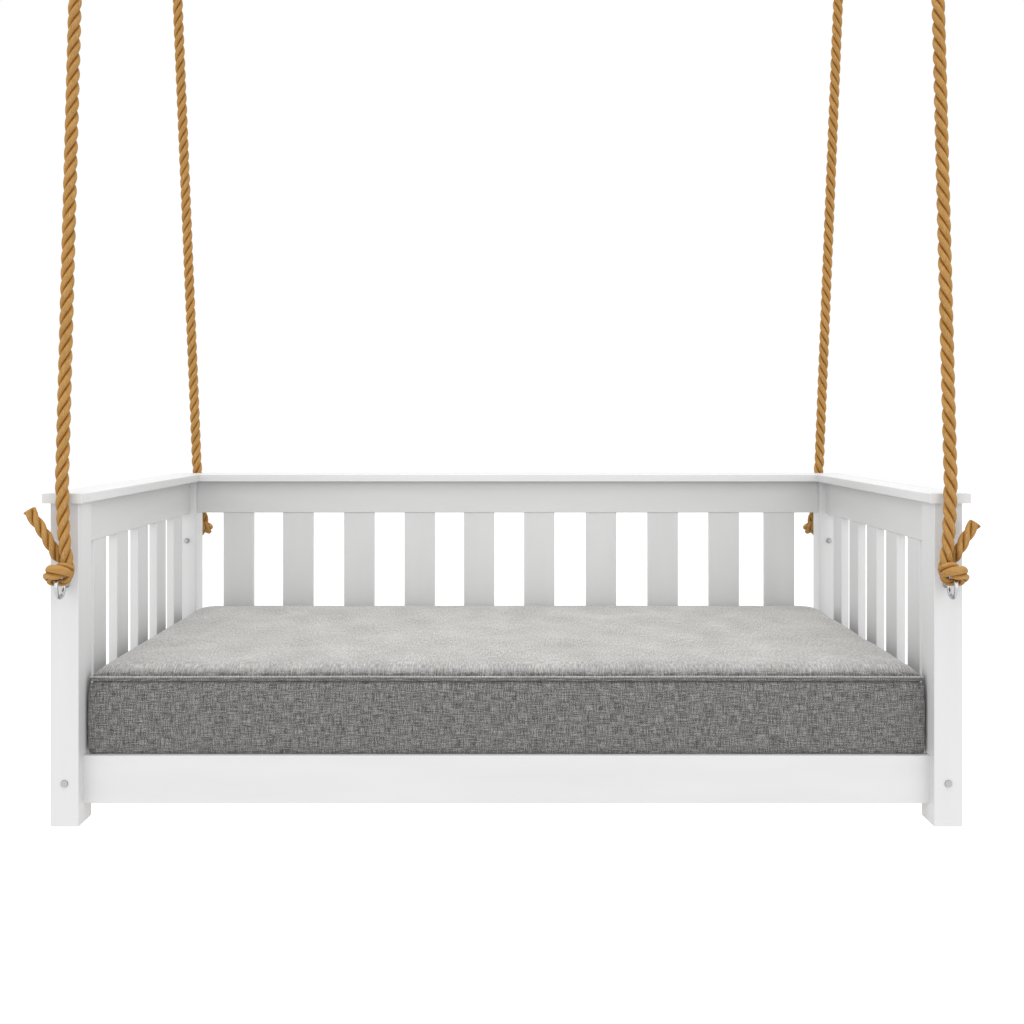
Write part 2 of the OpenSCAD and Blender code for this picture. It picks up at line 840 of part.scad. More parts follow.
corner(-1, 1) rope();  // rope_bl
corner(1, 1) rope();  // rope_br
corner(-1, -1) rope_socket();  // rope_socket_fl
corner(1, -1) rope_socket();  // rope_socket_fr
corner(-1, 1) rope_socket();  // rope_socket_bl
corner(1, 1) rope_socket();  // rope_socket_br
corner(-1, -1) link_pin();  // link_pin_fl
corner(1, -1) link_pin();  // link_pin_fr
corner(-1, 1) link_pin();  // link_pin_bl
corner(1, 1) link_pin();  // link_pin_br
corner(-1, -1) swivel_link();  // swivel_link_fl
corner(1, -1) swivel_link();  // swivel_link_fr
corner(-1, 1) swivel_link();  // swivel_link_bl
corner(1, 1) swivel_link();  // swivel_link_br
corner(-1, -1) ceiling_hanger();  // ceiling_hanger_fl
corner(1, -1) ceiling_hanger();  // ceiling_hanger_fr
corner(-1, 1) ceiling_hanger();  // ceiling_hanger_bl
corner(1, 1) ceiling_hanger();  // ceiling_hanger_br
clevis_bolts();
clevis_nuts();
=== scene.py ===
"""The finish of a hanging swing bed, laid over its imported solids.

The boards, bolts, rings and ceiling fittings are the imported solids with
worked finishes. The ropes, knots and mattress are made here as surfaces.
Everything is in metres in the frame of the solids: the origin is on the
ceiling between the four studs, +X along the bed, -Y to its open front.
"""

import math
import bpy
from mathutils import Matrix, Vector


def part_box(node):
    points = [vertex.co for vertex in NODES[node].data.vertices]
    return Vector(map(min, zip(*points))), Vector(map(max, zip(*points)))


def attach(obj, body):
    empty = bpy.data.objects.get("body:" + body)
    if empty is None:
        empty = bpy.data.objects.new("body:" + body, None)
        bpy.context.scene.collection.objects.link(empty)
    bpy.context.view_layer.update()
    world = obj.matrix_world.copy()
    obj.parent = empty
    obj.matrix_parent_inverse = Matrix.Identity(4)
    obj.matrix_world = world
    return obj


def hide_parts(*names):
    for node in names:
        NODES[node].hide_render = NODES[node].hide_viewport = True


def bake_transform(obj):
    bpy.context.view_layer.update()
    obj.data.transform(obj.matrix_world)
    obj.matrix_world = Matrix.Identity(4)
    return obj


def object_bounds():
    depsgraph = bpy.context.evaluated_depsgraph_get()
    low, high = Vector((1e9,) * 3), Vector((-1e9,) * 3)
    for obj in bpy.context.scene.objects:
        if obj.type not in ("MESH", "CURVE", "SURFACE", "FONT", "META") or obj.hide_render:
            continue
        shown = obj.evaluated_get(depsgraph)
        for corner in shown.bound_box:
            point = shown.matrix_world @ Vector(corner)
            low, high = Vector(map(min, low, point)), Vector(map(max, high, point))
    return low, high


bl_info = {
    "name": "Hanging Swing Bed",
    "version": (1, 0, 0),
    "blender": (4, 5, 0),
    "location": "3D View > Sidebar > Swing Bed",
    "description": "Ropes, knots, mattress and finishes of the swing bed",
    "category": "Object",
}

import bmesh
import bpy
import numpy as np

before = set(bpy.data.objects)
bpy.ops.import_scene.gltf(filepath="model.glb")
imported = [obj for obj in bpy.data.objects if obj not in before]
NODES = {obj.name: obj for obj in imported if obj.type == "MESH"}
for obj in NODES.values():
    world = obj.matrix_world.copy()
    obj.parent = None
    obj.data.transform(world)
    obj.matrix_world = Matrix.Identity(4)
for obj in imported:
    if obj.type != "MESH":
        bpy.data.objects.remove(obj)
CAD_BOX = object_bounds()

# The rope's own points for the back right corner; the other corners change
# the signs of X and Y. The low pin holds the rope's socket, the bend is where
# the rope flexes over the bed, and the ring is the eye bolt's.
LOW_PIN = np.array([1.005, 0.421459, -0.1])
BEND = np.array([0.985, 0.590165, -1.615])
RING = np.array([0.986, 0.6, -1.847])
SOCKET_DEPTH = 0.032

# Corner name: side sign, depth sign, how far above the bend a strand's crown
# first faces the front, as a share of one strand's rise, and how much shorter
# than the knot's line the free tail is cut, in metres.
CORNERS = {
    "fl": (-1, -1, 0.17, 0.0),
    "fr": (1, -1, 0.32, 0.031),
    "bl": (-1, 1, -0.16, 0.012),
    "br": (1, 1, -0.22, 0.022),
}

# The knot's line, from the standing rope to the cut tail, in millimetres from
# the ring's centre: outward along the bed, outward from the post, up, and
# the rope's outer radius there.
KNOT_LINE = np.array([
    (-3, -6.3, 200, 15.1),
    (-6.5, -0.7, 150, 14.7),
    (-10.8, 4, 108, 14.1),
    (-14, 6.5, 82, 13.9),
    (-18.3, 8.5, 58, 14.3),
    (-21.5, 8, 40, 13.2),
    (-20, 5, 24, 12.0),
    (-12, 1, 12.8, 10.2),
    (0, 0, 9.2, 9.0),
    (12, 1, 10.5, 9.6),
    (19.5, 6, 15, 10.6),
    (19.5, 14, 24.5, 12.8),
    (13, 24, 32.5, 15.2),
    (3, 30.5, 36.7, 18.6),
    (-9, 31.5, 39.2, 19.5),
    (-19, 26, 39, 17.6),
    (-25, 14, 37.5, 13.6),
    (-21.5, 1, 42, 10.2),
    (-17, -10, 47, 10.6),
    (-5, -14, 54, 11.6),
    (6, -9, 63, 12.6),
    (11, -2, 74, 13.1),
    (18, 2, 90, 13.5),
    (27, 4, 107, 13.6),
    (39.5, 6, 129, 13.6),
    (54, 8, 151, 13.7),
    (64.5, 10, 169.5, 14.0),
])

# The back knots are tied looser: this is added to the stations of their outer
# turn, in the same four columns and in millimetres.
OUTER_TURN = slice(13, 19)
BACK_SLACK = np.array([
    (0, 2, 0, 0), (-2, 3, -2, -1), (-7, 2, -12, 0), (-5, 0, -14, 2),
    (-4, 0, -13, 2), (-2, 0, -8, 2)])


# ---------------------------------------------------------------- settings


def linear(text):
    """A colour given as #RRGGBB in sRGB, as linear red, green, blue, alpha."""
    value = np.array([int(text[i:i + 2], 16) for i in (1, 3, 5)]) / 255
    low, high = value / 12.92, ((value + 0.055) / 1.055) ** 2.4
    return (*np.where(value <= 0.04045, low, high).tolist(), 1.0)


def colour(name, text, description):
    """A colour setting whose default is an sRGB hex value."""
    return bpy.props.FloatVectorProperty(
        name=name, description=description, subtype="COLOR", size=4,
        min=0.0, max=1.0, default=linear(text))


def length(name, metres, description):
    """A length setting in metres."""
    return bpy.props.FloatProperty(
        name=name, description=description, default=metres, min=0.0,
        unit="LENGTH")


class RopeSettings(bpy.types.PropertyGroup):
    """Sizes and colours of the four ropes and their knots."""

    lay: length("Lay", 0.104, "Height of one full turn of a strand")
    ring_step: length("Ring step", 0.003, "Distance between section rings")
    crown: colour("Crown", "#A67E47", "Fibre on the outside of a strand")
    worn: colour("Bleached fibre", "#C7AE89", "Loose light fibres")
    shadowed: colour("Dull fibre", "#8A6320", "Dark fibre on the crowns")
    # Painted shade: the darker colour laid into the crease between two strands, where
    # shade falls.
    groove: colour("Groove", "#925B09", "Fibre deep between two strands")


class MattressSettings(bpy.types.PropertyGroup):
    """Sizes and colours of the mattress."""

    crown: length("Crown", 0.0258, "Rise of the top above its edge")
    tuft_depth: length("Tuft depth", 0.0042, "Depth of each tuft")
    tuft_pitch: length("Tuft pitch", 0.320, "Distance of tufts along a row")
    row_pitch: length("Row pitch", 0.172, "Distance between rows of tufts")
    tuft_spread: length("Tuft spread", 0.062, "Radius of a tuft's hollow")
    yarn_dark: colour("Dark yarn", "#353432", "Border's darkest yarn")
    yarn_middle: colour("Middle yarn", "#5F5E5D", "Most of the border's yarn")
    yarn_light: colour("Light yarn", "#969593", "Border's lightest slubs")
    top_dark: colour("Top, dark yarn", "#6D6C6A", "Top's darkest yarn")
    top_middle: colour("Top, middle yarn", "#949391", "Most of the top's yarn")
    top_light: colour("Top, light yarn", "#BAB9B7", "Top's lightest slubs")


class FinishSettings(bpy.types.PropertyGroup):
    """Colours of the timber and the hardware."""

    paint: colour("Paint", "#CBCBCB", "Satin enamel on the frame")
    paint_thick: colour("Thicker coat", "#C8C8C8", "Where the coat is thick")
    pine_light: colour("Pine, early wood", "#D9B98A", "Light pine rings")
    pine_dark: colour("Pine, late wood", "#B88A55", "Dark pine rings")
    zinc: colour("Zinc", "#B4B6B6", "Zinc plating on the hardware")
    steel: colour("Steel", "#BFC1C3", "Polished steel of the eye bolts")
    edge: length("Eased edge", 0.0008, "Rounding of the painted edges")


class StageSettings(bpy.types.PropertyGroup):
    """Camera and floor."""

    camera_at: bpy.props.FloatVectorProperty(
        name="Camera", description="Where the camera stands",
        default=(0.0126, -3.35, -1.4855), subtype="TRANSLATION",
        unit="LENGTH")
    focal: bpy.props.FloatProperty(
        name="Focal length", description="Lens on a 36 mm sensor",
        default=43.76, unit="CAMERA")
    drop: bpy.props.FloatProperty(
        name="Frame drop", description="Downward shift of the picture",
        default=0.0869)
    floor_below: length("Floor", 0.9, "Depth of the floor under the feet")


# ------------------------------------------------------------ mesh helpers


def weave_faces(rows, columns, wrap):
    """Corner numbers of the four-sided faces of a grid of points.

    Face (r, c) joins points (r, c), (r+1, c), (r+1, c+1) and (r, c+1); with
    wrap, the last column is joined to the first.
    """
    r = np.arange(rows - 1)[:, None]
    c = np.arange(columns if wrap else columns - 1)[None, :]
    n = (c + 1) % columns
    corners = [r * columns + c, (r + 1) * columns + c,
               (r + 1) * columns + n, r * columns + n]
    return np.stack(np.broadcast_arrays(*corners), axis=-1).reshape(-1, 4)


def new_piece(name, points, faces, finish, values=()):
    """A smooth mesh object at the origin, with its per-point values."""
    mesh = bpy.data.meshes.new(name)
    mesh.from_pydata(points.tolist(), [], faces)
    for label, array in dict(values).items():
        kind, field = (("FLOAT_VECTOR", "vector") if array.ndim == 2
                       else ("FLOAT", "value"))
        layer = mesh.attributes.new(label, kind, "POINT")
        layer.data.foreach_set(field, array.astype(np.float32).ravel())
    mesh.shade_smooth()
    mesh.materials.append(finish)
    piece = bpy.data.objects.new(name, mesh)
    bpy.context.scene.collection.objects.link(piece)
    return piece


def smooth_line(stations, step):
    """A smooth line through stations, as points one small step apart.

    Each span is a cubic that starts and ends with the mean slope of its two
    neighbours, over chord length. The cubics are sampled finely, and the
    samples are read off again at equal distances along the line.
    """
    gaps = np.linalg.norm(np.diff(stations[:, :3], axis=0), axis=1)
    at = np.concatenate([[0], np.cumsum(gaps)])
    slope = np.gradient(stations, at, axis=0)
    t = np.linspace(0, at[-1], int(at[-1] / (step / 4)))
    i = np.clip(np.searchsorted(at, t, side="right") - 1, 0, len(gaps) - 1)
    h, u = gaps[i][:, None], ((t - at[i]) / gaps[i])[:, None]
    fine = ((2 * u**3 - 3 * u**2 + 1) * stations[i]
            + (u**3 - 2 * u**2 + u) * h * slope[i]
            + (3 * u**2 - 2 * u**3) * stations[i + 1]
            + (u**3 - u**2) * h * slope[i + 1])
    run = np.concatenate(
        [[0], np.cumsum(np.linalg.norm(np.diff(fine[:, :3], axis=0), axis=1))])
    even = np.linspace(0, run[-1], int(run[-1] / step) + 1)
    return np.stack([np.interp(even, run, column) for column in fine.T],
                    axis=1), even


def carried_frame(line, facing):
    """Two directions across a line, carried along it without turning.

    facing is the first direction at the start. At each station it loses its
    part along the line and is made one long again, so it never spins; the
    second direction is square to it and to the line.
    """
    along = np.gradient(line, axis=0)
    along /= np.linalg.norm(along, axis=1, keepdims=True)
    first = np.empty_like(along)
    last = np.array(facing, float)
    for i, tangent in enumerate(along):
        last = last - (last @ tangent) * tangent
        last /= np.linalg.norm(last)
        first[i] = last
    return first, np.cross(first, along)


# --------------------------------------------------------- shader helpers


def finish_of(name):
    """A new material with its node tree and its shader."""
    made = bpy.data.materials.new(name)
    made.use_nodes = True
    return made, made.node_tree, made.node_tree.nodes["Principled BSDF"]


def add(tree, kind, settings=(), sockets=(), stops=()):
    """Adds one node: its own settings, its inputs' values or links, and the
    places and colours of its ramp."""
    node = tree.nodes.new(kind)
    for name, value in dict(settings).items():
        setattr(node, name, value)
    for name, value in dict(sockets).items():
        if isinstance(value, bpy.types.NodeSocket):
            tree.links.new(value, node.inputs[name])
        else:
            node.inputs[name].default_value = value
    for i, (place, value) in enumerate(stops):
        if i > 1:
            node.color_ramp.elements.new(1.0)
        node.color_ramp.elements[i].position = place
        node.color_ramp.elements[i].color = value
    return node


def grey(value):
    """An even grey, given as its linear value."""
    return (value, value, value, 1.0)


# ------------------------------------------------------------------- stage

FLOOR_REACH = 30.0
# Three wide, even suns, each with the way it shines and its strength: two from
# the front, left and right, low enough to reach under the cap, and one from
# overhead.
SUN_WIDTH = math.radians(50)
SUNS = {
    "left_light": ((0.7, 1.0, -0.32), 0.50),
    "right_light": ((-0.7, 1.0, -0.32), 0.50),
    "top_light": ((0.0, 0.05, -1.0), 1.6),
}
# A long fill card in the bed's open front, which isn't seen itself, lights the
# back and the arms from inside.
CARD_WIDTH, CARD_HEIGHT, CARD_POWER = 1.7, 0.35, 2.4
CARD_AT = (0.0, -0.62, -1.50)


class SWINGBED_OT_stage(bpy.types.Operator):
    """Set the camera, the pale floor and the soft light"""

    bl_idname = "swing_bed.stage"
    bl_label = "Stage"

    def execute(self, context):
        scene, sizes = context.scene, context.scene.swing_bed_stage
        lens = bpy.data.cameras.new("view")
        lens.lens, lens.sensor_width = sizes.focal, 36.0
        lens.shift_y = -sizes.drop
        lens.clip_start, lens.clip_end = 0.05, 60.0
        camera = bpy.data.objects.new("view", lens)
        camera.location = sizes.camera_at
        camera.rotation_euler = (math.pi / 2, 0.0, 0.0)
        scene.collection.objects.link(camera)
        scene.camera = camera
        scene.view_settings.view_transform = "Standard"

        # Mid grey paper that glows as well. The two together read as white,
        # also under the bed.
        paper, _, shader = finish_of("white studio paper")
        shader.inputs["Base Color"].default_value = linear("#808080")
        shader.inputs["Roughness"].default_value = 0.9
        shader.inputs["Emission Color"].default_value = linear("#FFFFFF")
        shader.inputs["Emission Strength"].default_value = 0.8
        level = CAD_BOX[0].z - sizes.floor_below
        reach = [-FLOOR_REACH, FLOOR_REACH]
        x, y = np.meshgrid(reach, reach)
        corners = np.stack([x, y, np.full_like(x, level)], -1).reshape(-1, 3)
        mesh = bpy.data.meshes.new("studio_floor")
        mesh.from_pydata(corners.tolist(), [], [(0, 1, 3, 2)])
        mesh.materials.append(paper)
        floor = bpy.data.objects.new("studio_floor", mesh)
        scene.collection.objects.link(floor)

        world = bpy.data.worlds.new("soft_studio")
        world.use_nodes = True
        sky = world.node_tree.nodes["Background"]
        sky.inputs["Color"].default_value = grey(1.0)
        sky.inputs["Strength"].default_value = 1.0
        scene.world = world
        for name, (toward, strength) in SUNS.items():
            lamp = bpy.data.lights.new(name, "SUN")
            lamp.energy, lamp.angle = strength, SUN_WIDTH
            light = bpy.data.objects.new(name, lamp)
            light.rotation_euler = Vector(toward).to_track_quat(
                "-Z", "Y").to_euler()
            scene.collection.objects.link(light)
        lamp = bpy.data.lights.new("fill_card", "AREA")
        lamp.shape, lamp.energy = "RECTANGLE", CARD_POWER
        lamp.size, lamp.size_y = CARD_WIDTH, CARD_HEIGHT
        light = bpy.data.objects.new("fill_card", lamp)
        light.location = CARD_AT
        light.rotation_euler = (math.pi / 2, 0.0, 0.0)
        light.visible_camera = False
        scene.collection.objects.link(light)
        return {"FINISHED"}


# ------------------------------------------------------- ropes and knots


def twisted_fibre(settings):
    """Three-strand rope of tan hemp-like fibre, twisted and unsized.

    The eye gets warm tan strand crowns, fine dry fibres that run nearly
    straight down the rope, a few of them bleached, and painted shade that
    darkens the fibre to brown in the grooves between strands.
    """
    made, tree, shader = finish_of("laid tan rope fibre")
    straight = add(tree, "ShaderNodeAttribute",
                   {"attribute_name": "straight"})
    # How deep a point lies in the crease between two strands: the mask of the painted
    # groove shade.
    groove = add(tree, "ShaderNodeAttribute", {"attribute_name": "groove"})
    # Yarns are 2.4 mm wide and their fibres 0.9 mm, drawn twice as coarse as
    # real fibre so that they show.
    yarn_scale = add(tree, "ShaderNodeMapping", {}, {
        "Vector": straight.outputs["Vector"],
        "Scale": (1 / 0.0024, 1 / 0.0024, 1 / 0.045)})
    fibre_scale = add(tree, "ShaderNodeMapping", {}, {
        "Vector": straight.outputs["Vector"],
        "Scale": (1 / 0.0009, 1 / 0.0009, 1 / 0.016)})
    yarns = add(tree, "ShaderNodeTexNoise", {}, {
        "Vector": yarn_scale.outputs[0], "Scale": 1.0, "Detail": 2.0})
    fibres = add(tree, "ShaderNodeTexNoise", {}, {
        "Vector": fibre_scale.outputs[0], "Scale": 1.0, "Detail": 3.0,
        "Roughness": 0.6})
    mottle = add(tree, "ShaderNodeTexNoise", {}, {
        "Vector": straight.outputs["Vector"], "Scale": 30.0, "Detail": 2.0})
    both = add(tree, "ShaderNodeMath", {"operation": "ADD"}, {
        0: yarns.outputs["Fac"], 1: fibres.outputs["Fac"]})
    streak = add(tree, "ShaderNodeValToRGB", {}, {
        "Fac": add(tree, "ShaderNodeMapRange", {}, {
            "Value": both.outputs[0], "From Min": 0.62,
            "From Max": 1.38}).outputs[0]},
        [(0.0, settings.shadowed), (0.45, settings.crown),
         (0.72, settings.crown), (1.0, settings.worn)])
    # Painted shade: towards the crease the fibre colour is mixed with the darker groove
    # shade colour, standing in for shade that falls between the strands.
    depth = add(tree, "ShaderNodeMapRange",
                {"interpolation_type": "SMOOTHSTEP"}, {
                    "Value": groove.outputs["Fac"], "From Min": 0.42,
                    "From Max": 0.98, "To Max": 0.9})
    shaded = add(tree, "ShaderNodeMix", {"data_type": "RGBA"}, {
        0: depth.outputs[0], 6: streak.outputs["Color"],
        7: settings.groove})
    patchy = add(tree, "ShaderNodeHueSaturation", {}, {
        "Color": shaded.outputs[2], "Saturation": 1.0,
        "Value": add(tree, "ShaderNodeMapRange", {}, {
            "Value": mottle.outputs["Fac"], "From Min": 0.3,
            "From Max": 0.7, "To Min": 0.93, "To Max": 1.07}).outputs[0]})
    relief = add(tree, "ShaderNodeBump", {}, {
        "Strength": 0.55, "Distance": 0.0011, "Height": both.outputs[0]})
    tree.links.new(patchy.outputs[0], shader.inputs["Base Color"])
    tree.links.new(relief.outputs[0], shader.inputs["Normal"])
    shader.inputs["Roughness"].default_value = 0.82
    shader.inputs["Specular IOR Level"].default_value = 0.15
    shader.inputs["Sheen Weight"].default_value = 0.08
    shader.inputs["Sheen Roughness"].default_value = 0.5
    return made


STRAND_POINTS = 14
# A cut tail spreads over this last length of it.
SPREAD_LENGTH = 0.020
# A rope's end cap, from its last ring to the centre: how wide it is there and
# how far it stands out, both as shares of the rope's section.
END_CAP = ((0.72, 0.10), (0.34, 0.13), (0.0, 0.13))
# An edge sharper than this is shaded as a crease between two strands.
CREASE = math.radians(55)


def strand_section(per_strand):
    """One cross section of three-strand rope whose outer radius is 1.

    Each strand is an ellipse a little wider than it is deep, centred 0.543
    from the axis, with its sizes measured on a rope of 15.1 mm radius. Its
    arc runs from one crease to the next, so the three arcs close. Returns
    the points and how deep in a crease each one lies.
    """
    centre, deep, wide, reach = 8.2 / 15.1, 6.9 / 15.1, 8.0 / 15.1, 137.2
    u = np.radians(np.linspace(-reach, reach, per_strand, endpoint=False))
    arc = np.stack([centre + deep * np.cos(u), wide * np.sin(u)], axis=1)
    turns = np.radians([0.0, 120.0, 240.0])
    spin = np.stack([np.cos(turns), -np.sin(turns),
                     np.sin(turns), np.cos(turns)], -1).reshape(3, 2, 2)
    points = np.einsum("kij,nj->kni", spin, arc).reshape(-1, 2)
    return points, np.tile(np.abs(u) / math.radians(reach), 3)


def corner_line(corner, step):
    """The rope's whole line at a corner, from its socket to its cut tail.

    Returns the line with its radius, the distance along it, and that
    distance where it bends.
    """
    side, depth, _, _ = CORNERS[corner]
    signs = np.array([side, depth, 1.0])
    down = (BEND - LOW_PIN) / np.linalg.norm(BEND - LOW_PIN)
    radius = KNOT_LINE[0, 3] / 1000
    # Two stations close above the bend keep the taut rope straight to it.
    held = [LOW_PIN + down * SOCKET_DEPTH, BEND - down * 0.12,
            BEND - down * 0.06, BEND]
    tied = KNOT_LINE / 1000
    if depth > 0:
        tied[OUTER_TURN] += BACK_SLACK / 1000
    stations = np.concatenate([np.array(held) * signs,
                               (RING + tied[:, :3]) * signs])
    radii = np.concatenate([np.full(len(held), radius), tied[:, 3]])
    line, run = smooth_line(np.column_stack([stations, radii]), step)
    nearest = np.linalg.norm(line[:, :3] - BEND * signs, axis=1).argmin()
    return line, run, run[nearest]


def laid_rope(name, corner, start, end, finish, settings, slimmer=1.0,
              flare=0.0):
    """A stretch of three-strand rope between two distances from its bend.

    The section is carried down the line and turned by one full turn for each
    lay, less where the rope is drawn thin. Each end is closed by a shallow
    dome of its strands. slimmer is a factor on the whole radius, and flare
    is how much the cut end spreads.
    """
    side, _, phase, cut = CORNERS[corner]
    line, run, bend = corner_line(corner, settings.ring_step)
    first, second = carried_frame(line[:, :3], (0.0, -1.0, 0.0))
    full = KNOT_LINE[0, 3] / 1000
    lay = settings.lay * line[:, 3] / full
    turn = np.concatenate([[0], np.cumsum(np.diff(run) / lay[1:])])
    at_bend = np.interp(bend, run, turn)
    angle = side * 2 * math.pi * (turn - at_bend + phase / 3)
    part = ((run >= bend + start - 1e-6)
            & (run <= min(bend + end, run[-1] - cut) + 1e-6))
    line, run, angle = line[part], run[part], angle[part]
    first, second = first[part], second[part]
    spread = np.clip(1 - (run[-1] - run) / SPREAD_LENGTH, 0, 1) ** 2
    radius = line[:, 3] * slimmer * (1 + flare * spread)
    section, groove = strand_section(STRAND_POINTS)
    cos, sin = np.cos(angle)[:, None], np.sin(angle)[:, None]
    x = (section[:, 0] * cos - section[:, 1] * sin) * radius[:, None]
    y = (section[:, 0] * sin + section[:, 1] * cos) * radius[:, None]
    rings = (line[:, None, :3] + x[..., None] * first[:, None]
             + y[..., None] * second[:, None])
    # Each end's cap: two smaller rings pushed out a little, then a centre.
    along = np.cross(second, first)
    caps = []
    for i, way in ((0, -1.0), (-1, 1.0)):
        for share, rise in END_CAP:
            caps.append(line[i, :3] + share * (rings[i] - line[i, :3])
                        + way * rise * radius[i] * along[i])
    rows = np.stack([caps[2], caps[1], caps[0], *rings, *caps[3:]])
    keep = np.r_[0, 0, 0, np.arange(len(line)), [-1] * 3]
    # How deep each point lies in a crease, kept as the mask of the painted groove shade.
    depth = np.broadcast_to(groove, rows.shape[:2]).copy()
    straight = np.stack([x[keep], y[keep], np.broadcast_to(
        (run[keep] - bend)[:, None], x[keep].shape)], axis=-1)
    points = rows.reshape(-1, 3)
    faces = weave_faces(*rows.shape[:2], True)
    piece = new_piece(name, points, faces.tolist(), finish, {
        "straight": straight.reshape(-1, 3), "groove": depth.ravel()})
    weld(piece.data)
    piece.data.set_sharp_from_angle(angle=CREASE)
    return piece, line[:, :3]


def weld(mesh):
    """Joins points that lie together, which closes poles and seams."""
    form = bmesh.new()
    form.from_mesh(mesh)
    bmesh.ops.remove_doubles(form, verts=form.verts, dist=1e-6)
    form.to_mesh(mesh)
    form.free()


# A rope ends and its knot begins this far below the bend, along the line. The
# knot begins a little earlier, so that the two lap and no gap shows.
HANDOVER = 0.195
KNOT_LAP = 0.006
# Further than any rope runs from its bend, either way.
PAST_END = 9.0


class SWINGBED_OT_knots(bpy.types.Operator):
    """Wind the four knots round their rings, each with a free tail"""

    bl_idname = "swing_bed.knots"
    bl_label = "Knots"

    def execute(self, context):
        settings = context.scene.swing_bed_ropes
        finish = twisted_fibre(settings)
        for corner in CORNERS:
            piece, _ = laid_rope("knot_wrap_" + corner, corner,
                                 HANDOVER - KNOT_LAP, PAST_END, finish,
                                 settings, slimmer=0.97, flare=0.13)
            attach(piece, "bed" if corner == "fl" else "tied_" + corner)
            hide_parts("knot_" + corner)
        return {"FINISHED"}


class SWINGBED_OT_ropes(bpy.types.Operator):
    """Lay the four taut ropes, each above and below its bend"""

    bl_idname = "swing_bed.ropes"
    bl_label = "Ropes"

    def execute(self, context):
        settings = context.scene.swing_bed_ropes
        finish = bpy.data.materials["laid tan rope fibre"]
        for corner, (side, depth, _, _) in CORNERS.items():
            # The rope curves over from 125 mm above its bend to 50 mm below.
            upper, line = laid_rope("rope_upper_" + corner, corner,
                                    -PAST_END, 0.0, finish, settings)
            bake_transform(upper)
            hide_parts("rope_" + corner)
            lower, line = laid_rope("rope_lower_" + corner, corner, 0.0,
                                    HANDOVER, finish, settings)
            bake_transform(lower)
            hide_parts("rope_bend_" + corner)
        return {"FINISHED"}


# ---------------------------------------------------------------- mattress


def heathered_linen(settings):
    """Coarse grey linen ticking, plain woven from slubby two-tone yarn.

    The eye gets short dark and light streaks that cross at right angles, a
    grainy weave between them, and a pale bloom of loose fibre where the
    cloth is seen at a low angle. The top panel is a paler grey than the
    border, and the piece's "panel" values say where it is; beside the tape
    they fall towards the border's grey as painted shade.
    """
    made, tree, shader = finish_of("heathered linen ticking")
    cloth = add(tree, "ShaderNodeUVMap", {"uv_map": "cloth"})
    # Real threads are 0.7 mm apart; they are drawn 2 mm wide, with slubs
    # about 30 mm long, so that they show. The top's nap lies in tufts 3 mm
    # wide and 19 mm long, over clouds some 110 mm wide.
    noises = []
    for across, along, detail in (
            (0.0021, 0.026, 2.0), (0.030, 0.0021, 2.0), (0.0017, 0.0017, 2.0),
            (0.0034, 0.019, 3.0), (0.110, 0.170, 2.0)):
        stretched = add(tree, "ShaderNodeMapping", {}, {
            "Vector": cloth.outputs[0],
            "Scale": (1 / across, 1 / along, 1.0)})
        noises.append(add(tree, "ShaderNodeTexNoise",
                          {"noise_dimensions": "2D"}, {
                              "Vector": stretched.outputs[0], "Scale": 1.0,
                              "Detail": detail,
                              "Roughness": 0.6}).outputs["Fac"])
    upright, level, grain, nap, cloud = noises
    crossed = add(tree, "ShaderNodeMath", {"operation": "ADD"}, {
        0: upright, 1: level})
    heather = add(tree, "ShaderNodeMath", {"operation": "MULTIPLY_ADD"}, {
        0: grain, 1: 1.9, 2: crossed.outputs[0]})
    brushed = add(tree, "ShaderNodeMath", {"operation": "MULTIPLY_ADD"}, {
        0: cloud, 1: 0.3, 2: nap})
    panels = []
    for value, low, high, yarns in (
            (heather, 1.56, 2.34,
             (settings.yarn_dark, settings.yarn_middle, settings.yarn_light)),
            (brushed, 0.35, 0.95,
             (settings.top_dark, settings.top_middle, settings.top_light))):
        share = add(tree, "ShaderNodeMapRange", {}, {
            "Value": value.outputs[0], "From Min": low, "From Max": high})
        panels.append(add(tree, "ShaderNodeValToRGB", {}, {
            "Fac": share.outputs[0]},
            list(zip((0.0, 0.5, 1.0), yarns))).outputs["Color"])
    border, top = panels
    # The border's yarn and the top's paler yarn; where the top nears the tape, the mix
    # towards the border's yarn is painted shade.
    yarn = add(tree, "ShaderNodeMix", {"data_type": "RGBA"}, {
        0: add(tree, "ShaderNodeAttribute",
               {"attribute_name": "panel"}).outputs["Fac"],
        6: border, 7: top})
    relief = add(tree, "ShaderNodeBump", {}, {
        "Strength": 0.5, "Distance": 0.0008, "Height": heather.outputs[0]})
    tree.links.new(yarn.outputs[2], shader.inputs["Base Color"])
    tree.links.new(relief.outputs[0], shader.inputs["Normal"])
    shader.inputs["Roughness"].default_value = 0.9
    shader.inputs["Specular IOR Level"].default_value = 0.2
    shader.inputs["Sheen Weight"].default_value = 0.5
    shader.inputs["Sheen Roughness"].default_value = 0.35
    shader.inputs["Sheen Tint"].default_value = linear("#F4F3F0")
    return made


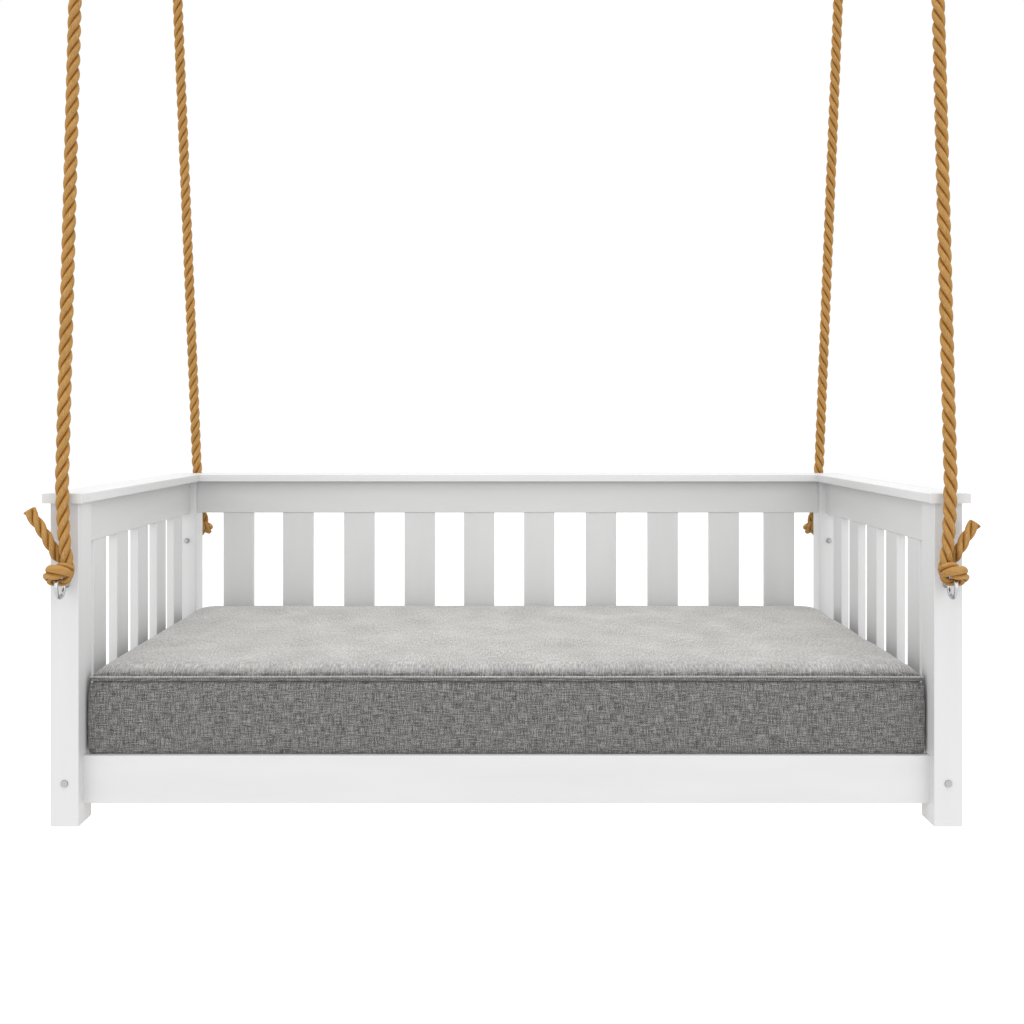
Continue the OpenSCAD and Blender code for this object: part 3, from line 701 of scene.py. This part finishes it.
def rounded_rings(half_x, half_y, corner, insets, counts):
    """Rounded rectangles drawn in from an outline, as (ring, point, xy).

    Each corner is a quarter circle round its centre, whose radius loses the
    inset, down to none. Each side runs straight from one corner's centre to
    the next, moved out by that radius. counts are the points on a short
    side, on a long side and on a corner.
    """
    inset = np.asarray(insets, float)[:, None]
    radius = np.maximum(corner - inset, 0.0)
    centre = np.stack([half_x - inset - radius, np.maximum(
        half_y - inset - radius, 0.0)], axis=-1)
    signs = np.array([(1, 1), (-1, 1), (-1, -1), (1, -1)])
    parts = []
    for k in range(4):
        t = np.linspace(0, 1, counts[k % 2], endpoint=False)[None, :, None]
        out = np.array([math.cos(k * math.pi / 2), math.sin(k * math.pi / 2)])
        parts.append(centre * signs[k - 1] * (1 - t) + centre * signs[k] * t
                     + radius[..., None] * out)
        angle = math.pi / 2 * (k + np.linspace(0, 1, counts[2],
                                               endpoint=False))
        parts.append(centre * signs[k] + radius[..., None] * np.stack(
            [np.cos(angle), np.sin(angle)], axis=-1)[None])
    return np.concatenate(parts, axis=1)


# How far the rows of tufts stand off the panel's centre, to the left and to
# the front, the band along each long edge in which the tufts fade out, and
# the pinch of thread in the middle of each tuft.
TUFTS_LEFT, TUFTS_FRONT, TUFT_FADE = 0.028, 0.056, 0.12
PINCH_DEPTH, PINCH_SPREAD = 0.0012, 0.012


def panel_height(x, y, half_x, half_y, settings):
    """Height of the top panel over its edge, at points from its centre.

    It is a flat-topped crown: the square root of one less the 44th power of
    the way along, times one less the 24th power of the way across. The tufts
    are round hollows in rows, every second row moved by half a pitch, and
    they fade out towards the long edges. Each hollow, and the small pinch in
    its middle, is a bell curve of the distance from the tuft.
    """
    edge = (np.clip(1 - np.abs(x / half_x) ** 44, 0, 1)
            * np.clip(1 - np.abs(y / half_y) ** 24, 0, 1)) ** 0.5
    row = np.round((y + TUFTS_FRONT) / settings.row_pitch)
    dy = y + TUFTS_FRONT - row * settings.row_pitch
    shift = (row % 2) * settings.tuft_pitch / 2
    dx = x + TUFTS_LEFT - shift
    dx = dx - np.round(dx / settings.tuft_pitch) * settings.tuft_pitch
    away = np.hypot(dx, dy)
    hollow = np.exp(-(away / settings.tuft_spread) ** 2) * np.clip(
        (half_y - np.abs(y)) / TUFT_FADE, 0, 1) ** 2
    pucker = PINCH_DEPTH * np.exp(-(away / PINCH_SPREAD) ** 2)
    return edge * (settings.crown - settings.tuft_depth * hollow - pucker)


# Half sizes, corner and heights of the mattress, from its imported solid: its
# border rises from the bottom to the tape, and the top panel starts at the
# tape's lip.
MATTRESS_LOW, MATTRESS_HIGH = (np.array(p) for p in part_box("mattress"))
MATTRESS_MIDDLE = (MATTRESS_LOW + MATTRESS_HIGH) / 2
MATTRESS_HALF = (MATTRESS_HIGH - MATTRESS_LOW) / 2
MATTRESS_CORNER = 0.006
BORDER_HEIGHT = 0.1665
LIP_HEIGHT = 0.1762
SIDE_POINTS = (96, 186, 12)

# The border's section: height as a share of the border, and how far the cloth
# is drawn in there, in millimetres.
BORDER_SECTION = np.array([
    (1.0, 13.0), (0.99, 11.8), (0.975, 9.4), (0.955, 6.4), (0.92, 4.2),
    (0.84, 2.2), (0.75, 1.1), (0.62, 0.3), (0.5, 0.0), (0.38, 0.6),
    (0.25, 1.2), (0.14, 1.9), (0.06, 3.0), (0.02, 4.6), (0.0, 8.0)])

# The tape's section round the top edge: a flat tape under a pale cord, as
# inset and height over the mattress's bottom, in millimetres, and whether the
# point is the cord's.
TAPE_SECTION = np.array([
    (13.0, 167.5, 0), (9.0, 166.0, 0), (7.2, 166.2, 0), (6.2, 167.2, 0),
    (5.7, 168.8, 0), (5.6, 170.8, 0), (6.0, 172.4, 0), (6.9, 173.3, 0),
    (5.9, 173.8, 1), (5.0, 174.7, 1), (4.7, 175.9, 1), (5.1, 177.1, 1),
    (6.0, 177.8, 1), (7.1, 177.8, 1), (8.1, 177.1, 1), (8.8, 175.7, 0),
    (13.0, 174.5, 0)])

# Insets of the rings of the top panel, which are even from its middle out and
# then closer at its edge, and of the underside, which are even throughout.
PANEL_RINGS, PANEL_EVEN = 52, 0.024
PANEL_EDGE = (0.020, 0.017, 0.0148, 0.0132, 0.0122)
UNDER_RINGS, UNDER_EDGE = 18, 0.020
# The crown ends at this inset, and the panel's last ring is tucked down.
CROWN_INSET, PANEL_TUCK = 0.012, 0.004
# Painted shade beside the tape: the top's paler cloth fades to the border's darker yarn,
# from this inset over this width.
SEAM_SHADE_EDGE, SEAM_SHADE_WIDTH = 0.0126, 0.012
# How far the border and the tape wander.
BORDER_WAVE, TAPE_WAVE = 0.0012, 0.0005


def drape(points, amount):
    """A slow unevenness round the mattress, in metres.

    It is the sum of three waves along the perimeter direction, of unlike
    lengths, so that the cloth is never perfectly straight.
    """
    x, y = points[..., 0], points[..., 1]
    return amount * (np.sin(7.3 * x + 4.1 * y) + 0.6 * np.sin(
        17.9 * x - 11.3 * y + 1.7) + 0.35 * np.sin(41.0 * x + 33.0 * y)) / 2


def ring_cloth(rings, heights, kinds, pale, name, finish):
    """A closed mesh from rings of points, with its cloth map in metres.

    A face of the border is mapped by the way round and the height, and a
    face of the top or bottom by its x and y, so the weave never stretches.
    kinds is true on the rings of the top and bottom, and false on a border's.
    pale is 1 on the rings of the top panel's cloth, and 0 elsewhere; on the
    top it falls towards 0 beside the tape, where it paints shade.
    """
    middle = MATTRESS_MIDDLE[:2]
    x, y = np.moveaxis(rings, -1, 0)
    points = np.stack([x + middle[0], y + middle[1], heights], -1)
    rows, columns = x.shape
    faces = weave_faces(rows, columns, True)
    piece = new_piece(name, points.reshape(-1, 3), faces.tolist(), finish,
                      {"panel": np.repeat(pale, columns)})
    closed = np.concatenate([rings, rings[:, :1]], axis=1)
    steps = np.linalg.norm(np.diff(closed, axis=1), axis=-1)
    widest = steps.sum(axis=1).argmax()
    around = np.concatenate([[0], np.cumsum(steps[widest])])
    row, column = np.divmod(np.arange(len(faces)), columns)
    row_at = np.stack([row, row + 1, row + 1, row], -1)
    column_at = np.stack([column, column, column + 1, column + 1], -1)
    rise = np.concatenate([[0], np.cumsum(np.linalg.norm(np.diff(
        points[:, 0], axis=0), axis=1))])
    wound = np.stack([around[column_at], -rise[row_at]], -1)
    spread = closed[row_at, column_at]
    flat = (kinds[row] & kinds[row + 1])[:, None, None]
    uv = np.where(flat, spread, wound)
    layer = piece.data.uv_layers.new(name="cloth")
    layer.data.foreach_set("uv", uv.astype(np.float32).ravel())
    weld(piece.data)
    return piece


class SWINGBED_OT_mattress(bpy.types.Operator):
    """Make the mattress: border, tufted top, bottom and corded tape"""

    bl_idname = "swing_bed.mattress"
    bl_label = "Mattress"

    def execute(self, context):
        settings = context.scene.swing_bed_mattress
        finish = heathered_linen(settings)
        half_x, half_y = MATTRESS_HALF[:2]
        panel = np.concatenate([
            np.linspace(half_y, PANEL_EVEN, PANEL_RINGS), PANEL_EDGE])
        under = np.linspace(UNDER_EDGE, half_y, UNDER_RINGS)
        border = BORDER_SECTION[:, 1] / 1000
        insets = np.concatenate([panel, border, under])
        rings = rounded_rings(half_x, half_y, MATTRESS_CORNER, insets,
                              SIDE_POINTS)
        x, y = np.moveaxis(rings[:len(panel)], -1, 0)
        top = LIP_HEIGHT + panel_height(x, y, half_x - CROWN_INSET,
                                        half_y - CROWN_INSET, settings)
        top[-1] -= PANEL_TUCK
        side = np.broadcast_to((BORDER_SECTION[:, 0] * BORDER_HEIGHT)[
            :, None], (len(border), rings.shape[1]))
        flat = np.zeros((len(under), rings.shape[1]))
        heights = MATTRESS_LOW[2] + np.concatenate([top, side, flat])
        bulge = np.zeros(len(insets))
        bulge[len(panel):len(panel) + len(border)] = np.sin(
            np.pi * np.clip(BORDER_SECTION[:, 0], 0, 1))
        away = rings / np.linalg.norm(rings + 1e-9, axis=-1, keepdims=True)
        wave = drape(rings, BORDER_WAVE) - BORDER_WAVE
        rings = rings + away * (wave * bulge[:, None])[..., None]
        kinds = np.ones(len(insets), bool)
        kinds[len(panel):len(panel) + len(border)] = False
        pale = np.zeros(len(insets))
        # Painted shade: beside the tape the top's paler cloth fades to the border's darker
        # yarn.
        pale[:len(panel)] = np.clip(
            (panel - SEAM_SHADE_EDGE) / SEAM_SHADE_WIDTH, 0, 1) ** 0.5
        cover = ring_cloth(rings, heights, kinds, pale, "mattress_cover",
                           finish)
        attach(cover, "mattress")
        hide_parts("mattress")

        loop = np.vstack([TAPE_SECTION, TAPE_SECTION[:1]])[::-1]
        rings = rounded_rings(half_x, half_y, MATTRESS_CORNER,
                              loop[:, 0] / 1000, SIDE_POINTS)
        heights = (MATTRESS_LOW[2] + loop[:, 1][:, None] / 1000
                   + drape(rings, TAPE_WAVE))
        tape = ring_cloth(rings, heights, np.zeros(len(loop), bool),
                          loop[:, 2], "mattress_tape", finish)
        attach(tape, "mattress")
        return {"FINISHED"}


# ------------------------------------------------- timber and hardware

# The painted boards by the way their grain runs.
PAINTED = {
    "x": ["front_rail", "back_bottom_rail", "back_top_rail", "back_cap"],
    "y": ["arm_bottom_rail_l", "arm_bottom_rail_r", "arm_top_rail_l",
          "arm_top_rail_r", "arm_cap_l", "arm_cap_r"],
    "z": ["post_fl", "post_fr", "post_bl", "post_br", "back_slats",
          "arm_slats_l", "arm_slats_r"],
}
BARE = {"x": ["ledger_front", "ledger_back"], "y": ["bed_slats"]}


def grain_scale(axis, across, along):
    """Mapping scales that draw a pattern out along one axis."""
    return tuple(1 / (along if name == axis else across) for name in "xyz")


def satin_enamel(settings, axis):
    """Satin white enamel, brushed on planed softwood in two coats.

    The eye gets an even, slightly soft white, with faint brush drag along
    the board and a slow drift of the coat's thickness.
    """
    made, tree, shader = finish_of("satin white enamel, grain along " + axis)
    place = add(tree, "ShaderNodeTexCoord")
    # Bristle marks are drawn 3 mm wide and 150 mm long, and the drift of the
    # coat 60 mm wide and 500 mm long.
    drag = add(tree, "ShaderNodeTexNoise", {}, {
        "Vector": add(tree, "ShaderNodeMapping", {}, {
            "Vector": place.outputs["Object"],
            "Scale": grain_scale(axis, 0.003, 0.150)}).outputs[0],
        "Scale": 1.0, "Detail": 3.0, "Roughness": 0.6})
    drift = add(tree, "ShaderNodeTexNoise", {}, {
        "Vector": add(tree, "ShaderNodeMapping", {}, {
            "Vector": place.outputs["Object"],
            "Scale": grain_scale(axis, 0.060, 0.500)}).outputs[0],
        "Scale": 1.0, "Detail": 2.0})
    coat = add(tree, "ShaderNodeMix", {"data_type": "RGBA"}, {
        0: add(tree, "ShaderNodeMapRange", {}, {
            "Value": drift.outputs["Fac"], "From Min": 0.35,
            "From Max": 0.65}).outputs[0],
        6: settings.paint, 7: settings.paint_thick})
    gloss = add(tree, "ShaderNodeMapRange", {}, {
        "Value": drag.outputs["Fac"], "From Min": 0.3, "From Max": 0.7,
        "To Min": 0.36, "To Max": 0.46})
    relief = add(tree, "ShaderNodeBump", {}, {
        "Strength": 0.25, "Distance": 0.0004,
        "Height": drag.outputs["Fac"]})
    tree.links.new(coat.outputs[2], shader.inputs["Base Color"])
    tree.links.new(gloss.outputs[0], shader.inputs["Roughness"])
    tree.links.new(relief.outputs[0], shader.inputs["Normal"])
    return made


def planed_pine(settings, axis):
    """Planed pine, left bare.

    The eye gets honey-coloured late wood in long lines between paler early
    wood, about 11 mm apart, and a dry sawn surface.
    """
    made, tree, shader = finish_of("bare planed pine, grain along " + axis)
    place = add(tree, "ShaderNodeTexCoord")
    run = add(tree, "ShaderNodeMapping", {}, {
        "Vector": place.outputs["Object"],
        "Scale": grain_scale(axis, 0.050, 1.2)})
    rings = add(tree, "ShaderNodeTexWave", {
        "wave_type": "RINGS", "rings_direction": axis.upper()}, {
            "Vector": run.outputs[0], "Scale": 1.4, "Distortion": 3.0,
            "Detail": 3.0, "Detail Scale": 1.2})
    pores = add(tree, "ShaderNodeTexNoise", {}, {
        "Vector": add(tree, "ShaderNodeMapping", {}, {
            "Vector": place.outputs["Object"],
            "Scale": grain_scale(axis, 0.0015, 0.040)}).outputs[0],
        "Scale": 1.0, "Detail": 2.0})
    wood = add(tree, "ShaderNodeMix", {"data_type": "RGBA"}, {
        0: rings.outputs["Fac"], 6: settings.pine_light,
        7: settings.pine_dark})
    dusty = add(tree, "ShaderNodeMix", {
        "data_type": "RGBA", "blend_type": "MULTIPLY"}, {
            0: 0.35, 6: wood.outputs[2], 7: pores.outputs["Color"]})
    relief = add(tree, "ShaderNodeBump", {}, {
        "Strength": 0.4, "Distance": 0.0005,
        "Height": pores.outputs["Fac"]})
    tree.links.new(dusty.outputs[2], shader.inputs["Base Color"])
    tree.links.new(relief.outputs[0], shader.inputs["Normal"])
    shader.inputs["Roughness"].default_value = 0.65
    return made


def bright_steel(name, shade, smooth, dull):
    """Smooth steel, bright zinc plated or polished, by its shade and the
    lowest and highest roughness of its skin.

    The eye gets a soft grey metal with a faint crystal patchwork and a
    slightly duller skin in places; polished, it is nearly a mirror.
    """
    made, tree, shader = finish_of(name)
    place = add(tree, "ShaderNodeTexCoord")
    # Zinc crystals are about 4 mm across.
    crystals = add(tree, "ShaderNodeTexVoronoi", {}, {
        "Vector": place.outputs["Object"], "Scale": 250.0})
    cloud = add(tree, "ShaderNodeTexNoise", {}, {
        "Vector": place.outputs["Object"], "Scale": 90.0, "Detail": 3.0})
    plate = add(tree, "ShaderNodeMix", {
        "data_type": "RGBA", "blend_type": "MULTIPLY"}, {
            0: dull / 5, 6: shade, 7: crystals.outputs["Color"]})
    skin = add(tree, "ShaderNodeMapRange", {}, {
        "Value": cloud.outputs["Fac"], "From Min": 0.3, "From Max": 0.7,
        "To Min": smooth, "To Max": dull})
    tree.links.new(plate.outputs[2], shader.inputs["Base Color"])
    tree.links.new(skin.outputs[0], shader.inputs["Roughness"])
    shader.inputs["Metallic"].default_value = 1.0
    return made


def dress(name, finish):
    """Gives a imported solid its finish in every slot."""
    solid = NODES[name]
    solid.data.materials.clear()
    solid.data.materials.append(finish)
    return solid


def ease(solid, width):
    """Rounds a board's edges: its loose faces are joined, every edge over
    30 degrees gets a small round, and the flats keep flat shading."""
    joined = solid.modifiers.new("joined", "WELD")
    joined.merge_threshold = 1e-5
    rounded = solid.modifiers.new("eased", "BEVEL")
    rounded.width, rounded.segments = width, 2
    rounded.limit_method, rounded.angle_limit = "ANGLE", math.radians(30)
    rounded.use_clamp_overlap = True
    shading = solid.modifiers.new("flats", "WEIGHTED_NORMAL")
    shading.keep_sharp = False


class SWINGBED_OT_painted_frame(bpy.types.Operator):
    """Paint the posts, rails, caps and slats"""

    bl_idname = "swing_bed.painted_frame"
    bl_label = "Painted frame"

    def execute(self, context):
        settings = context.scene.swing_bed_finishes
        for axis, names in PAINTED.items():
            finish = satin_enamel(settings, axis)
            for name in names:
                ease(dress(name, finish), settings.edge)
        return {"FINISHED"}


class SWINGBED_OT_bare_deck(bpy.types.Operator):
    """Finish the ledgers and the slats under the mattress"""

    bl_idname = "swing_bed.bare_deck"
    bl_label = "Bare deck"

    def execute(self, context):
        settings = context.scene.swing_bed_finishes
        for axis, names in BARE.items():
            finish = planed_pine(settings, axis)
            for name in names:
                dress(name, finish)
        return {"FINISHED"}


class SWINGBED_OT_hardware(bpy.types.Operator):
    """Plate the bolts, nuts, rings, links and ceiling fittings"""

    bl_idname = "swing_bed.hardware"
    bl_label = "Hardware"

    def execute(self, context):
        settings = context.scene.swing_bed_finishes
        zinc = bright_steel("bright zinc plated steel", settings.zinc,
                            0.28, 0.48)
        steel = bright_steel("polished stainless steel", settings.steel,
                             0.10, 0.20)
        wooden = {n for names in (*PAINTED.values(), *BARE.values())
                  for n in names}
        made_here = {"mattress"} | {
            kind + corner for corner in CORNERS
            for kind in ("rope_", "rope_bend_", "knot_")}
        polished = {"eye_bolt_" + corner for corner in CORNERS}
        for name in sorted(set(NODES) - wooden - made_here):
            dress(name, steel if name in polished else zinc)
        return {"FINISHED"}


# ----------------------------------------------------------------- add-on

SETTINGS = {
    "swing_bed_stage": StageSettings,
    "swing_bed_ropes": RopeSettings,
    "swing_bed_mattress": MattressSettings,
    "swing_bed_finishes": FinishSettings,
}
STEPS = (
    SWINGBED_OT_stage,
    SWINGBED_OT_knots,
    SWINGBED_OT_ropes,
    SWINGBED_OT_mattress,
    SWINGBED_OT_painted_frame,
    SWINGBED_OT_bare_deck,
    SWINGBED_OT_hardware,
)


class SWINGBED_PT_panel(bpy.types.Panel):
    """The swing bed's settings and steps"""

    bl_idname = "SWINGBED_PT_panel"
    bl_label = "Swing Bed"
    bl_space_type = "VIEW_3D"
    bl_region_type = "UI"
    bl_category = "Swing Bed"

    def draw(self, context):
        for name, group in SETTINGS.items():
            box = self.layout.box()
            for field in group.__annotations__:
                box.prop(getattr(context.scene, name), field)
        for step in STEPS:
            self.layout.operator(step.bl_idname)


def register():
    for kind in (*SETTINGS.values(), *STEPS, SWINGBED_PT_panel):
        bpy.utils.register_class(kind)
    for name, group in SETTINGS.items():
        setattr(bpy.types.Scene, name, bpy.props.PointerProperty(type=group))


def unregister():
    for name in SETTINGS:
        delattr(bpy.types.Scene, name)
    for kind in (SWINGBED_PT_panel, *reversed(STEPS), *SETTINGS.values()):
        bpy.utils.unregister_class(kind)


def main():
    """Registers the add-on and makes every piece."""
    register()
    for step in STEPS:
        group, name = step.bl_idname.split(".")
        getattr(getattr(bpy.ops, group), name)()


if __name__ == "__main__":
    main()
